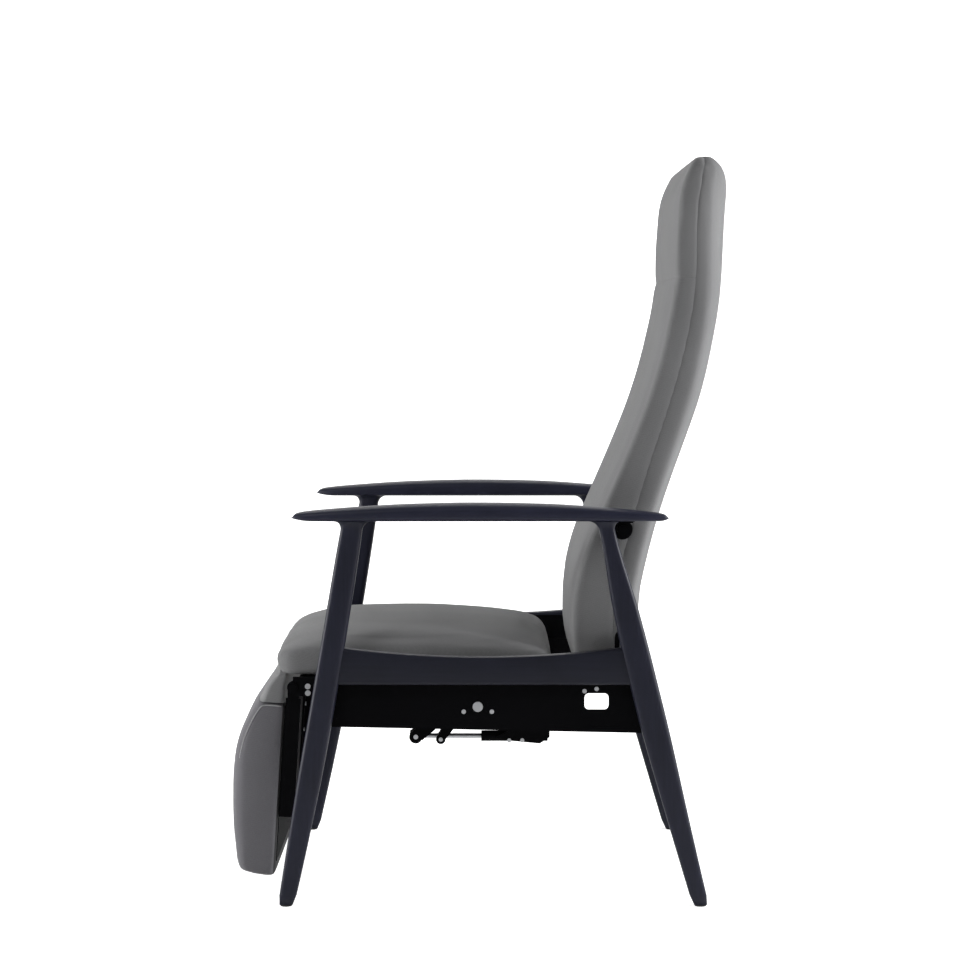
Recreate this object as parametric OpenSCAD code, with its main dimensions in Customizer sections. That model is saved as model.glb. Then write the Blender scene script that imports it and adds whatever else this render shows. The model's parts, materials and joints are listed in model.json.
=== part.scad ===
// High-backed reclining armchair with stained wooden side frames, a black steel
// glide mechanism and grey upholstery. The seat slides forward while the back
// tips rearward about two pivots under the arms; the leg rest swings up in front.
// +Z is up, the sitter faces -Y, X = 0 is the plane of symmetry.

/* [Side frames] */
// Middle plane of the chair to the centre of each arm and leg
side_x = 295; // [285:1:330]
// Thickness of the legs across the chair
leg_w = 28; // [22:1:34]
// Top of the armrests above the floor
arm_top_z = 635; // [620:1:680]
// Greatest thickness of an armrest
arm_t = 28.5; // [24:0.5:34]
// Greatest width of an armrest
arm_w = 56; // [48:1:64]
// Length of an armrest
arm_l = 589; // [560:1:640]
// Centre of the front foot ahead of the middle
front_foot_y = 304.5; // [290:0.5:330]
// Centre of the front leg under the arm, ahead of the middle
front_top_y = 198; // [190:0.5:215]
// Greatest depth of the front leg
front_leg_d = 38.5; // [32:0.5:44]
// Centre of the rear foot behind the middle
rear_foot_y = 346.5; // [330:0.5:370]
// Centre of the rear leg under the arm, behind the middle
rear_top_y = 194.5; // [186:0.5:200]
// Greatest depth of the rear leg
rear_leg_d = 44; // [38:0.5:50]
// Underside of the side rail above the floor
rail_z = 350; // [345:1:352]
// Height of the side rail at its ends
rail_h = 58; // [52:1:66]
// How far the top of the rail dips at its middle
rail_dip = 14.5; // [8:0.5:20]
// Thickness of the side rail
rail_t = 24; // [20:0.5:26]

/* [Mechanism] */
// Thickness of the steel plates
plate_t = 4; // [3:0.5:5]
// Front end of the steel side plate, ahead of the middle
plate_front_y = 240; // [232:1:250]
// Rear end of the steel side plate, behind the middle
plate_rear_y = 246; // [240:1:252]
// Lower front corner of the side plate
plate_front_z = 281; // [274:1:285]
// Lower rear corner of the side plate
plate_rear_z = 271; // [264:1:277]
// Outside diameter of the cross tubes
tube_d = 20; // [16:1:22]
// Height of the seat slides above the floor
slide_z = 337; // [335:0.5:339]
// Depth of the slide channel across the chair
track_w = 18; // [15:0.5:20]
// Outside height of the slide channel
track_h = 26; // [24:0.5:28]
// Steel thickness of the slide channel
track_t = 2.5; // [2:0.1:3]
// Forward travel of the seat when the back is fully reclined
seat_travel = 80; // [60:1:82]
// Angle through which the back reclines
recline_angle = 25; // [15:1:25]
// Height of the axis of the gas spring
spring_z = 220; // [212:1:228]
// Diameter of the gas spring cylinder
spring_d = 18; // [14:0.5:20]
// Diameter of the gas spring rod
rod_d = 8; // [6:0.5:10]

/* [Back] */
// Back pivots below the underside of the armrests
pivot_drop = 17.8; // [16:0.1:20]
// Back pivots behind the middle
pivot_y = 225; // [221:0.5:229]
// Top of the back above the floor
back_top_z = 1178; // [1100:1:1220]
// Bottom of the back above the floor
back_low_z = 338; // [334:1:342]
// Front of the back at the small of the sitter's back
back_front_y = 149; // [146:1:152]
// Rearmost point of the back
back_rear_y = 389; // [372:1:402]
// Half the width of the back
back_half_w = 238; // [225:1:238]
// Height of the head cushion
head_h = 193; // [160:1:220]

/* [Seat] */
// Underside of the seat cushion above the floor
seat_z = 354; // [352:0.5:355]
// Highest point of the seat cushion above its underside
seat_h = 66; // [58:1:78]
// Front of the seat cushion ahead of the middle
seat_front_y = 322; // [318:1:326]
// Rear of the seat cushion behind the middle
seat_rear_y = 115; // [100:1:118]
// Half the width of the seat cushion
seat_half_w = 240; // [228:1:242]

/* [Leg rest] */
// Leg rest hinge ahead of the middle
hinge_y = 297; // [295:0.5:299]
// Leg rest hinge above the floor
hinge_z = 337; // [335:0.5:338]
// Upper rear corner of the leg rest pad ahead of the middle
rest_top_y = 309.5; // [308:0.5:312]
// Top of the leg rest pad above the floor
rest_top_z = 310; // [304:1:311]
// Length of the leg rest pad
rest_l = 280; // [240:1:288]
// Greatest thickness of the leg rest pad
rest_t = 80.5; // [66:0.5:86]
// Half the width of the leg rest pad
rest_half_w = 236; // [225:1:236]
// Slope of the leg rest board from upright
rest_slope = 3.6; // [2:0.1:5]

/* [Hidden] */

// Clearances, overruns and roundness
touch = 0.3;
running = 0.1;
over = 2;
sides = 48;
wood_sides = 24;
soft_sides = 28;

// Wooden parts
arm_under_z = arm_top_z - arm_t;
pivot_z = arm_under_z - pivot_drop;
flare = 14;
glide_d = 18;
glide_h = 2.5;
leg_bow = 3;
plate_outer_x = side_x - leg_w / 2;
plate_inner_x = plate_outer_x - plate_t;
rail_clear = 0.4;
front_depth_shares = [[0, 0.68], [0.2, 0.88], [0.42, 1], [0.7, 0.99], [0.9, 0.94], [1, 0.87]];
rear_depth_shares = [[0, 0.59], [0.19, 0.76], [0.44, 0.985], [0.6, 1], [0.78, 0.9], [0.97, 0.57], [1, 0.57]];
arm_top_shares = [[0, 0.3], [0.015, 0.42], [0.05, 0.55], [0.14, 0.71], [0.25, 0.865], [0.35, 0.95],
    [0.48, 1], [0.6, 0.975], [0.72, 0.89], [0.87, 0.66], [0.95, 0.49], [0.985, 0.38], [1, 0.28]];
arm_width_shares = [[0, 0.3], [0.015, 0.55], [0.05, 0.76], [0.14, 0.92], [0.3, 1], [0.55, 1],
    [0.8, 0.9], [0.93, 0.76], [0.985, 0.52], [1, 0.3]];
arm_stations = 26;
leg_round = 0.5;
arm_round = 0.7;
arm_under_round = 0.45;
leg_stations = 12;
flare_stations = 3;
leg_foot_share = 0.8;
leg_foot_shares = 3;
rail_stations = 12;

// Steel side plate and what is fixed to it
plate_top_drop = 16;
plate_top_z = rail_z + rail_h - plate_top_drop;
plate_lean = 14;
window_y = 164;
window_z = 308;
window_w = 38;
window_h = 26;
window_r = 7;
track_front_y = 196;
track_rear_y = 132;
track_x = plate_inner_x - track_w;
bolt_d = 6;
bolt_head_d = 12;
bolt_head_h = 4;
rail_bolt_depth = 14;
rail_bolt_ys = [-170, -60, 60, 170];
rail_bolt_z = rail_z + rail_h / 3;
front_tube_y = 222;
front_tube_z = 300;
middle_tube_y = 3.5;
tube_gap = 1;
middle_tube_z = slide_z - track_h / 2 - tube_d / 2 - tube_gap;
rear_tube_y = 230;
rear_tube_z = 296;
tube_t = 2;
tube_bolt_d = 10;
tube_bolt_head_d = 16;
small_bolt_gap_y = 22;
small_bolt_drop = 8;
rivet_d = 7;
rivet_h = 2;

// Back pivots: a tab under each arm holds a pin that turns in a socket on the back
tab_r = 9;
pivot_pin_d = 12;
socket_r = 16;
socket_t = 3;
socket_x = back_half_w + touch;
tab_inset = 36;
tab_x = side_x - tab_inset;
tab_w = 4;
socket_boss_r = 10;
pivot_head_d = 17;
pivot_head_h = 3;
bracket_l = 34;
bracket_t = 3;
bracket_w = 22;
screw_d = 7;
screw_h = 2;
screw_share = 0.62;

// Link between the back and the seat: a pin on the back rides in a curved slot
link_y = 228;
link_z = 400;
link_pin_d = 12;
link_plate_t = 4;
link_gap = 3.5;
link_plate_x = seat_half_w + link_gap;
link_plate_h = 20;
link_front_y = 40;
link_foot_y = 190;
link_head_r = 15;
slot_clear = 0.4;
link_head_h = 2.5;

// Seat frame
seat_bar_h = 20;
seat_bar_w = 24;
seat_bar_x = link_plate_x - seat_bar_w;
front_bar_inset = 11;
rear_bar_inset = 10;
seat_front_bar_y = hinge_y - front_bar_inset;
seat_rear_bar_y = seat_rear_y - rear_bar_inset;
web_t = 1.5;
web_w = 48;
web_count = 5;
web_rows = 6;
block_l = 50;
block_front_y = 85;
block_rear_y = 71;
block_clear = 0.3;
stub_d = 12;

// Gas spring
eye_d = 8;
eye_r = 11;
spring_front_y = 108;
spring_rear_y = 106;
cheek_gap = 12.5;
cheek_t = 3;
cheek_share = 0.6;
lobe_y = 66;
lobe_z = 216;
lobe_r = 8;
lever_front_y = 38;
lever_drop = 11;
lever_rise = 5;
lever_h = 34;
cylinder_l = 104;
cylinder_end = 8;
rod_engaged = 14;

// Leg rest
board_t = 12;
board_inset = 14;
board_half_w = rest_half_w - board_inset;
board_drop = 6;
board_foot = 24;
board_l = rest_l - board_drop - board_foot;
rest_arm_inset = 5;
rest_arm_x = rest_half_w - rest_arm_inset;
rest_arm_t = 4;
rest_arm_w = 24;
rest_arm_l = 182;
rest_flange_w = 30;
rest_boss_r = 9;
rest_screws = 4;
hinge_pin_d = 10;
hinge_head_d = 15;
hinge_head_h = 3;
hinge_gap = 1;
hinge_plate_x = rest_half_w + hinge_gap;
hinge_weld_l = 40;
hinge_screw_in = 13;
hinge_screw_d = 9;
hinge_screw_rise = 11;
hinge_screw_share = 0.62;
flap_half_w = rest_half_w - hinge_gap;
flap_room = 4;
flap_corner_r = 6;
flap_shares = [[0, 0.57], [0.3, 0.489], [0.6, 0.407], [0.85, 0.285], [1, 0.183]];
rest_corner_r = 12;

// Upholstery outlines, as shares of height and of depth
back_front_shares = [[0, 0.085], [0.05, 0.018], [0.136, 0], [0.232, 0.056], [0.328, 0.179], [0.425, 0.322],
    [0.521, 0.457], [0.616, 0.561], [0.712, 0.633], [0.772, 0.667], [0.832, 0.676], [0.89, 0.69],
    [0.939, 0.722], [0.981, 0.789], [1, 0.851]];
back_seam_shares = [[0, 0.263], [0.147, 0.259], [0.203, 0.289], [0.298, 0.369], [0.412, 0.485],
    [0.507, 0.594], [0.601, 0.691], [0.693, 0.761], [0.767, 0.792], [0.876, 0.796], [0.936, 0.817],
    [1, 0.854]];
back_rear_shares = [[0, 0.406], [0.074, 0.419], [0.163, 0.434], [0.21, 0.463], [0.301, 0.542],
    [0.37, 0.619], [0.461, 0.734], [0.551, 0.839], [0.642, 0.91], [0.733, 0.963], [0.868, 0.988],
    [0.936, 0.999], [0.96, 0.996], [0.984, 0.956], [1, 0.872]];
seat_top_shares = [[0, 0.551], [0.006, 0.584], [0.015, 0.612], [0.032, 0.651], [0.057, 0.722],
    [0.098, 0.833], [0.167, 0.937], [0.24, 0.979], [0.34, 0.992], [0.44, 1], [0.55, 0.996], [0.664, 0.955],
    [0.785, 0.903], [0.9, 0.834], [0.965, 0.761], [0.99, 0.64], [1, 0.529]];
seat_low_shares = [[0, 0.441], [0.006, 0.243], [0.02, 0.066], [0.04, 0], [0.97, 0], [0.99, 0.033],
    [1, 0.154]];
rest_front_shares = [[0, 0.173], [0.015, 0.632], [0.03, 0.759], [0.06, 0.81], [0.14, 0.859], [0.26, 0.927],
    [0.42, 0.977], [0.58, 1], [0.7, 0.974], [0.8, 0.897], [0.9, 0.763], [0.97, 0.635], [1, 0.57]];
crease_z = back_top_z - head_h;
pocket_d = 24;
frame_steps = 14;
back_bar_shares = [0, 0.38, 0.86];
web_clear = 1.2;
back_web_gap = 0.12;
back_bar_w = 24;
back_bar_t = 18;
back_bar_inset = 50;
back_bar_x = back_half_w - back_bar_inset;
frame_foot = 34;
frame_head = 62;
frame_low_z = back_low_z + frame_foot;
frame_top_z = back_top_z - frame_head;
back_web_t = 2;
back_bar_off = web_clear + back_web_t + touch;

seat_corner_r = 18;
seat_crown = 8;
soft_round = 0.4;
flat_round = 0.22;
seat_stations = 26;
back_stations = 26;
head_stations = 16;
shell_stations = 28;
rest_stations = 24;
flap_stations = 8;
back_crown = 8;
head_crown = 10;
rest_crown = 3;
back_foot_r = 20;
back_crease_r = 8;
back_head_r = 26;
shell_lift = 8;

// Colours
wood_colour = [0.12, 0.125, 0.155];
steel_colour = [0.07, 0.07, 0.08];
zinc_colour = [0.62, 0.63, 0.65];
fabric_colour = [0.46, 0.46, 0.465];
dark_fabric_colour = [0.38, 0.38, 0.385];
ply_colour = [0.66, 0.52, 0.36];
web_colour = [0.1, 0.1, 0.1];
nylon_colour = [0.85, 0.85, 0.82];

// Value of a table of [place, value] rows at a place, on a smooth curve through them
function row_slope(t, i) =
    let (a = max(i - 1, 0), b = min(i + 1, len(t) - 1),
        turns = a < i && i < b && (t[b][1] - t[i][1]) * (t[i][1] - t[a][1]) <= 0)
    turns ? 0 : (t[b][1] - t[a][1]) / (t[b][0] - t[a][0]);
function row_at(t, s, i = 0) = i >= len(t) - 2 || s < t[i + 1][0] ? i : row_at(t, s, i + 1);
function smooth(t, s) =
    let (i = row_at(t, s), w = t[i + 1][0] - t[i][0], u = (s - t[i][0]) / w, v = 1 - u)
    t[i][1] * v * v * (1 + 2 * u) + t[i + 1][1] * u * u * (1 + 2 * v)
        + w * (row_slope(t, i) * u * v * v - row_slope(t, i + 1) * u * u * v);

// Point of a rounded box section, one unit from its centre to each side, with one
// roundness for its front half and another for its rear half
function box_point(a, e, e_rear) = let (k = sin(a) > 0 ? e_rear : e)
    [sign(cos(a)) * pow(abs(cos(a)), k), sign(sin(a)) * pow(abs(sin(a)), k)];

// Places from 0 to 1, closer together towards both ends
function end_steps(n) = [for (i = [0 : n]) (1 - cos(180 * i / n)) / 2];

// Closed skin through rings of points, with a fan of triangles on each end
module skin(rings) {
    n = len(rings[0]);
    m = len(rings);
    points = [for (r = rings) each r, centre_of(rings[0]), centre_of(rings[m - 1])];
    faces = [
        for (j = [0 : m - 2]) for (i = [0 : n - 1])
            each [[j * n + i, (j + 1) * n + i, j * n + (i + 1) % n],
                [j * n + (i + 1) % n, (j + 1) * n + i, (j + 1) * n + (i + 1) % n]],
        for (i = [0 : n - 1]) [m * n, i, (i + 1) % n],
        for (i = [0 : n - 1]) [m * n + 1, (m - 1) * n + (i + 1) % n, (m - 1) * n + i],
    ];
    polyhedron(points, faces);
}
function centre_of(ring) = [for (k = [0 : 2]) sum_of([for (p = ring) p[k]]) / len(ring)];
function sum_of(v, i = 0) = i == len(v) ? 0 : v[i] + sum_of(v, i + 1);

// How far a rounded end draws a section in, a given way from that end
function drawn_in(d, r) = d >= r ? 0 : r - sqrt(r * r - (r - d) * (r - d));

// Ring of a cushion at one height: half width, front and rear, crowned in front
function upright_ring(z, half_w, front, rear, e, e_rear, crown) =
    let (mid = (front + rear) / 2, h = (rear - front) / 2)
    [for (i = [0 : soft_sides - 1]) let (p = box_point(360 * i / soft_sides, e, e_rear))
        [half_w * p[0], mid + h * p[1] - (p[1] < 0 ? crown * (1 - p[0] * p[0]) * -p[1] : 0), z]];

// Ring of a flat cushion at one distance from its front: bottom and top, crowned on top
function flat_ring(y, half_w, low, high, e, e_low, crown) =
    let (mid = (low + high) / 2, h = (high - low) / 2)
    [for (i = [0 : soft_sides - 1]) let (p = box_point(360 * i / soft_sides, e, e_low))
        [half_w * p[0], y, mid - h * p[1] - (p[1] < 0 ? crown * (1 - p[0] * p[0]) * p[1] : 0)]];

module mirrored(side) {
    mirror([side == "left" ? 0 : 1, 0, 0]) children();
}

// Rod along X between two places
module rod_x(x0, x1, y, z, d) {
    translate([x0, y, z]) rotate([0, 90, 0]) cylinder(h = x1 - x0, d = d, $fn = sides);
}

// Flat plate in the YZ plane, from its outline
module side_plate_of(x0, t) {
    translate([x0, 0, 0]) rotate([90, 0, 90]) linear_extrude(t) children();
}

// Legs: a centre line from foot to arm with a little bow, and a depth that swells at the rail
function leg_height() = arm_under_z - glide_h;
function leg_flare(z) = let (d = leg_height() - z)
    d >= flare ? 0 : flare - sqrt(flare * flare - (flare - d) * (flare - d));
function leg_mid(s, foot, top, bow) = foot + (top - foot) * s + bow * 4 * s * (1 - s);
function leg_ring(s, foot, top, bow, d, depth_shares) =
    let (z = leg_height() * s, h = d * smooth(depth_shares, s) / 2 + leg_flare(z),
        w = leg_w / 2 * (leg_foot_share + (1 - leg_foot_share) * min(1, s * leg_foot_shares)))
    [for (i = [0 : wood_sides - 1]) let (p = box_point(360 * i / wood_sides, leg_round, leg_round))
        [side_x + w * p[0], leg_mid(s, foot, top, bow) + h * p[1], glide_h + z]];
function leg_steps() = concat([for (i = [0 : leg_stations - 1]) i / leg_stations * (1 - flare / leg_height())],
    [for (i = [0 : flare_stations]) 1 - flare / leg_height() * (1 - sin(i * 90 / flare_stations))]);

module leg(foot, top, bow, d, depth_shares) {
    color(wood_colour) skin([for (s = leg_steps()) leg_ring(s, foot, top, bow, d, depth_shares)]);
}
module front_leg(side) {
    mirrored(side) leg(-front_foot_y, -front_top_y, leg_bow, front_leg_d, front_depth_shares);
}
module rear_leg(side) {
    mirrored(side) leg(rear_foot_y, rear_top_y, -leg_bow, rear_leg_d, rear_depth_shares);
}
// Depth limits of the legs at a height, for what meets them
function front_leg_rear(z) = let (s = (z - glide_h) / leg_height())
    leg_mid(s, -front_foot_y, -front_top_y, leg_bow) + front_leg_d * smooth(front_depth_shares, s) / 2;
function rear_leg_front(z) = let (s = (z - glide_h) / leg_height())
    leg_mid(s, rear_foot_y, rear_top_y, -leg_bow) - rear_leg_d * smooth(rear_depth_shares, s) / 2;

// Armrest: a paddle with a level underside, a bowed top and narrow rounded ends
module armrest(side) {
    color(wood_colour) mirrored(side) skin([for (s = end_steps(arm_stations))
        let (h = arm_t * smooth(arm_top_shares, s) / 2, w = arm_w * smooth(arm_width_shares, s) / 2)
        [for (i = [0 : wood_sides - 1]) let (p = box_point(360 * i / wood_sides, arm_round, arm_under_round))
            [side_x + w * p[0], arm_l * (s - 0.5), arm_under_z + h - h * p[1]]]]);
}

// Side rail: level underside, dished top, ends cut to the legs
module side_rail(side) {
    top = rail_z + rail_h;
    color(wood_colour) mirrored(side) difference() {
        side_plate_of(plate_outer_x, rail_t) polygon(concat(
            [[front_leg_rear(rail_z) + rail_clear, rail_z]],
            [for (i = [0 : rail_stations]) let (u = i / rail_stations,
                y0 = front_leg_rear(top) + rail_clear, y1 = rear_leg_front(top) - rail_clear)
                [y0 + (y1 - y0) * u, top - rail_dip * (1 - pow(2 * u - 1, 2))]],
            [[rear_leg_front(rail_z) - rail_clear, rail_z]]));
        for (y = rail_bolt_ys) rod_x(plate_outer_x - over,
            plate_outer_x + rail_bolt_depth + touch, y, rail_bolt_z, bolt_d);
    }
}

module foot_glides() {
    color(web_colour) for (x = [-side_x, side_x], y = [-front_foot_y, rear_foot_y])
        translate([x, y, 0]) cylinder(h = glide_h, d = glide_d, $fn = sides);
}

// Steel side plate, with the window at its rear and holes for bolts and tubes
module plate_outline() {
    polygon([[-plate_front_y, plate_front_z], [plate_rear_y + plate_lean, plate_rear_z],
        [plate_rear_y - plate_lean, plate_top_z], [-plate_front_y + plate_lean, plate_top_z]]);
}
module window_outline() {
    translate([window_y + window_r, window_z]) square([window_w - 2 * window_r, window_h]);
    translate([window_y, window_z + window_r]) square([window_w, window_h - 2 * window_r]);
    for (y = [window_r, window_w - window_r], z = [window_r, window_h - window_r])
        translate([window_y + y, window_z + z]) circle(r = window_r, $fn = sides);
}
module side_plate(side) {
    color(steel_colour) mirrored(side) difference() {
        side_plate_of(plate_inner_x, plate_t) difference() {
            plate_outline();
            window_outline();
        }
        for (y = rail_bolt_ys) rod_x(plate_inner_x - over, plate_outer_x + over, y, rail_bolt_z, bolt_d);
        rod_x(plate_inner_x - over, plate_outer_x + over, -middle_tube_y, middle_tube_z, tube_bolt_d);
    }
}

// Slide channel: a C section, open towards the seat
module slide_channel(side) {
    color(steel_colour) mirrored(side) translate([0, track_rear_y, 0]) rotate([90, 0, 0])
        linear_extrude(track_front_y + track_rear_y) difference() {
            translate([track_x, slide_z - track_h / 2]) square([track_w, track_h]);
            translate([track_x - over, slide_z - track_h / 2 + track_t])
                square([track_w - track_t + over, track_h - 2 * track_t]);
        }
}

module rail_bolts(side) {
    color(zinc_colour) mirrored(side) for (y = rail_bolt_ys) {
        rod_x(plate_inner_x, plate_outer_x + rail_bolt_depth, y, rail_bolt_z, bolt_d);
        rod_x(plate_inner_x - bolt_head_h, plate_inner_x, y, rail_bolt_z, bolt_head_d);
    }
}

// Bolt of the middle tube and the small screws and rivets round it, on the outer face
module plate_bolts(side) {
    color(zinc_colour) mirrored(side) {
        rod_x(plate_inner_x, plate_outer_x, -middle_tube_y, middle_tube_z, tube_bolt_d);
        rod_x(plate_outer_x, plate_outer_x + bolt_head_h, -middle_tube_y, middle_tube_z, tube_bolt_head_d);
        for (k = [-1, 1]) rod_x(plate_outer_x, plate_outer_x + rivet_h,
            -middle_tube_y + k * small_bolt_gap_y, middle_tube_z - small_bolt_drop, rivet_d);
        for (k = [0, 1]) rod_x(plate_outer_x, plate_outer_x + rivet_h,
            window_y + k * window_w / 2, window_z + window_h + rivet_d / 2 + k * rivet_d / 2, rivet_d);
    }
}

module cross_tube(y, z) {
    color(steel_colour) difference() {
        rod_x(-plate_inner_x, plate_inner_x, y, z, tube_d);
        rod_x(-plate_inner_x - over, plate_inner_x + over, y, z, tube_d - 2 * tube_t);
    }
}

// Back pivot bracket: a flange under the arm and a tab with the pivot hole
module pivot_bracket(side) {
    color(steel_colour) mirrored(side) {
        difference() {
            union() {
                rod_x(tab_x, tab_x + tab_w, pivot_y, pivot_z, 2 * tab_r);
                translate([tab_x, pivot_y - tab_r, pivot_z])
                    cube([tab_w, 2 * tab_r, arm_under_z - pivot_z - bracket_t]);
                translate([tab_x, pivot_y - bracket_l / 2, arm_under_z - bracket_t])
                    cube([bracket_w, bracket_l, bracket_t]);
            }
            rod_x(tab_x - over, tab_x + tab_w + over, pivot_y, pivot_z, pivot_pin_d);
        }
        for (k = [-1, 1]) translate([tab_x + bracket_w * screw_share, pivot_y + k * bracket_l / 3,
            arm_under_z - bracket_t - screw_h])
            cylinder(h = screw_h, d = screw_d, $fn = sides);
    }
}
module pivot_pin(side) {
    color(steel_colour) mirrored(side) {
        rod_x(socket_x + socket_t + touch, tab_x + tab_w, pivot_y, pivot_z, pivot_pin_d);
        rod_x(tab_x + tab_w, tab_x + tab_w + pivot_head_h, pivot_y, pivot_z, pivot_head_d);
    }
}
module pivot_socket(side) {
    color(steel_colour) mirrored(side) difference() {
        union() {
            rod_x(socket_x, socket_x + socket_t, pivot_y, pivot_z, 2 * socket_r);
            rod_x(socket_x + socket_t, tab_x - touch, pivot_y, pivot_z, 2 * socket_boss_r);
        }
        rod_x(socket_x + socket_t, tab_x, pivot_y, pivot_z, pivot_pin_d + 2 * running);
    }
}

// Place of the link pin, seen from the seat, when the back has turned by an angle
function link_at(a) = let (dy = link_y - pivot_y, dz = link_z - pivot_z)
    [pivot_y + dy * cos(a) + dz * sin(a) + seat_travel * a / recline_angle,
        pivot_z - dy * sin(a) + dz * cos(a)];
// Slot of the link plate: upright, with room for the small sway of the pin on its way up
module link_slot() {
    top = link_at(recline_angle)[1];
    sway = link_at(0)[0] - link_at(recline_angle / 2)[0];
    r = (link_pin_d + sway) / 2 + slot_clear;
    translate([link_y - sway / 2, 0]) {
        translate([-r, link_z]) square([2 * r, top - link_z]);
        for (z = [link_z, top]) translate([0, z]) circle(r = r, $fn = sides);
    }
}
module link_plate(side) {
    bar_z = seat_z - link_plate_h;
    color(steel_colour) mirrored(side) side_plate_of(link_plate_x, link_plate_t) difference() {
        union() {
            translate([link_front_y, bar_z]) square([link_foot_y - link_front_y, link_plate_h]);
            polygon([[link_foot_y, bar_z], [link_y + link_head_r, link_z - link_head_r],
                [link_y + link_head_r, link_at(recline_angle)[1]],
                [link_y - link_head_r, link_at(recline_angle)[1]],
                [link_y - link_head_r, link_z - link_head_r / 2], [link_foot_y, seat_z]]);
            translate([link_y, link_at(recline_angle)[1]]) circle(r = link_head_r, $fn = sides);
        }
        link_slot();
    }
}
module link_pin(side) {
    color(zinc_colour) mirrored(side) {
        rod_x(socket_x, socket_x + socket_t, link_y, link_z, 2 * socket_r);
        rod_x(socket_x + socket_t, link_plate_x + link_plate_t + touch, link_y, link_z, link_pin_d);
        rod_x(link_plate_x + link_plate_t + touch, link_plate_x + link_plate_t + touch + link_head_h,
            link_y, link_z, pivot_head_d);
    }
}

// Seat frame: four welded steel bars
module seat_frame() {
    y0 = -seat_front_bar_y;
    y1 = seat_rear_bar_y;
    color(steel_colour) difference() {
        translate([-link_plate_x, y0, seat_z - seat_bar_h]) cube([2 * link_plate_x, y1 - y0, seat_bar_h]);
        translate([-seat_bar_x, y0 + seat_bar_w, seat_z - seat_bar_h - over])
            cube([2 * seat_bar_x, y1 - y0 - 2 * seat_bar_w, seat_bar_h + 2 * over]);
    }
}
// Elastic webbing let into the top of the seat frame, woven lengthways over crossways
module seat_webbing() {
    x_room = 2 * seat_bar_x;
    y0 = -seat_front_bar_y + seat_bar_w;
    y1 = seat_rear_bar_y - seat_bar_w;
    color(web_colour) {
        for (i = [1 : web_count]) translate([-seat_bar_x + x_room * i / (web_count + 1) - web_w / 2, y0,
            seat_z - web_t])
            cube([web_w, y1 - y0, web_t]);
        for (i = [1 : web_rows]) translate([-seat_bar_x, y0 + (y1 - y0) * i / (web_rows + 1) - web_w / 2,
            seat_z - 2 * web_t])
            cube([x_room, web_w, web_t]);
    }
}
module slide_blocks(side) {
    h = track_h - 2 * track_t - 2 * block_clear;
    w = track_w - track_t - 2 * block_clear;
    places = [[-block_front_y, link_plate_x], [block_rear_y, link_plate_x + link_plate_t]];
    color(nylon_colour) mirrored(side) for (p = places) {
        translate([plate_inner_x - track_t - block_clear - w, p[0] - block_l / 2, slide_z - h / 2])
            cube([w, block_l, h]);
        rod_x(p[1], track_x + block_clear + over, p[0], slide_z, stub_d);
    }
}

// Seat cushion: level underside, crowned top and a waterfall front
module seat_cushion() {
    l = seat_front_y + seat_rear_y;
    color(fabric_colour) skin([for (s = end_steps(seat_stations)) flat_ring(-seat_front_y + l * s,
        seat_half_w - drawn_in(l * min(s, 1 - s), seat_corner_r),
        seat_z + touch + seat_h * smooth(seat_low_shares, s),
        seat_z + seat_h * smooth(seat_top_shares, s), soft_round, flat_round, seat_crown)]);
}

// Hinge plate of the leg rest, welded to the front bar of the seat frame
module hinge_plate(side) {
    bar_low = seat_z - seat_bar_h;
    color(steel_colour) mirrored(side) side_plate_of(hinge_plate_x, plate_t) difference() {
        union() {
            translate([-hinge_y, hinge_z]) circle(r = rest_boss_r, $fn = sides);
            translate([-hinge_y, hinge_z - rest_boss_r])
                square([hinge_y - seat_front_bar_y, seat_z - hinge_z + rest_boss_r]);
            translate([-hinge_y, bar_low - link_head_r + plate_t])
                square([hinge_weld_l, link_head_r - plate_t]);
        }
        translate([-hinge_y, hinge_z]) circle(d = hinge_pin_d, $fn = sides);
    }
}
module hinge_screws(side) {
    low_z = seat_z - seat_bar_h - hinge_screw_d * hinge_screw_share;
    places = [[link_plate_x, low_z + hinge_screw_rise], [hinge_plate_x + plate_t, low_z]];
    color(zinc_colour) mirrored(side) for (p = places)
        rod_x(p[0], p[0] + rivet_h, -seat_front_bar_y + hinge_screw_in, p[1], hinge_screw_d);
}
module hinge_pin(side) {
    x0 = rest_arm_x - rest_arm_t - touch;
    x1 = hinge_plate_x + plate_t;
    color(zinc_colour) mirrored(side) {
        rod_x(x0, x1, -hinge_y, hinge_z, hinge_pin_d);
        rod_x(x0 - hinge_head_h, x0, -hinge_y, hinge_z, hinge_head_d);
        rod_x(x1, x1 + hinge_head_h, -hinge_y, hinge_z, hinge_head_d);
    }
}

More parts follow.
